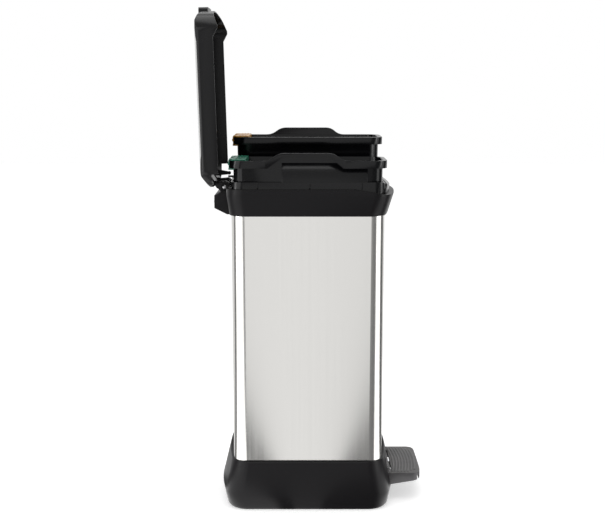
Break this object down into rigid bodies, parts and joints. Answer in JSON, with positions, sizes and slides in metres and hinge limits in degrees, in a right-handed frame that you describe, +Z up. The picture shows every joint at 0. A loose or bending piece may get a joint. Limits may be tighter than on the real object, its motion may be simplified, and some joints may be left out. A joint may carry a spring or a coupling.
{
  "type": "pedal trash can",
  "caption": "Tall pedal trash can with a steel sleeve, black base and collar, domed hinged lid, front pedal and lift-out inner buckets.",
  "frame": {"origin": "on the floor, under the middle of the steel sleeve", "axes": "+Z up, -Y to the pedal, +Y to the lid hinge, X along the hinge"},
  "size_m": [0.29, 0.47, 1.0253],
  "materials": {
    "satin_black": "satin moulded",
    "base_black": "satin moulded",
    "gloss_black": "gloss moulded",
    "sleeve_steel": "vertical brushed",
    "panel_silver": "satin",
    "plain_steel": "zinc plated",
    "pedal_grey": "ribbed satin",
    "feet_rubber": "matte",
    "green_plastic": "satin",
    "orange_plastic": "satin"
  },
  "bodies": {
    "bin_body": {"base_shell": "base_black", "anti_slip_pads": "feet_rubber", "bracket_screws": "plain_steel", "base_plate": "satin_black", "pedal_pivot_pin": "plain_steel", "pivot_brackets": "satin_black", "pivot_clips": "plain_steel", "floor_pan": "satin_black", "body_sleeve": "sleeve_steel", "hinge_screws": "plain_steel", "collar": "satin_black", "rim_liner": "gloss_black", "hinge_pins": "plain_steel", "hinge_bracket": "satin_black", "stop_buffers": "feet_rubber", "rod_guides": "gloss_black"},
    "lid": {"lid_panel": "panel_silver", "lid_frame": "satin_black", "lid_crank": "satin_black"},
    "pedal": {"pedal_screws": "plain_steel", "pedal_pad": "pedal_grey", "pedal_tongue": "pedal_grey", "lever_bushes": "gloss_black", "pedal_lever": "plain_steel"},
    "rod": {"push_rod": "plain_steel", "rod_foot": "gloss_black", "rod_head": "gloss_black"},
    "near_bucket": {"bucket_near": "gloss_black", "clip_green": "green_plastic"},
    "far_bucket": {"bucket_far": "gloss_black", "clip_orange": "orange_plastic"}
  },
  "joints": [
    {"name": "lid_swing", "type": "hinge", "parent": "bin_body", "child": "lid", "pos_m": [0, 0.171, 0.663], "axis": [1, 0, 0], "range_deg": [0, 91.5]},
    {"name": "pedal_press", "type": "hinge", "parent": "bin_body", "child": "pedal", "pos_m": [0, -0.02, 0.045], "axis": [1, 0, 0], "range_deg": [-10.9, 0]},
    {"name": "rod_lift", "type": "slide", "parent": "bin_body", "child": "rod", "axis": [0, 0, 1], "range_m": [-0.0315, 0]},
    {"name": "near_bucket_seat", "type": "slide", "parent": "bin_body", "child": "near_bucket", "axis": [0, 0, 1], "range_m": [-0.04, 0]},
    {"name": "far_bucket_seat", "type": "slide", "parent": "bin_body", "child": "far_bucket", "axis": [0, 0, 1], "range_m": [-0.079, 0]}
  ],
  "couplings": [
    {"joint": "pedal_press", "follows": "lid_swing", "ratio": -0.11911},
    {"joint": "rod_lift", "follows": "lid_swing", "m_per_rad": -0.019719},
    {"joint": "near_bucket_seat", "follows": "lid_swing", "m_per_rad": -0.025041},
    {"joint": "far_bucket_seat", "follows": "lid_swing", "m_per_rad": -0.049462}
  ]
}
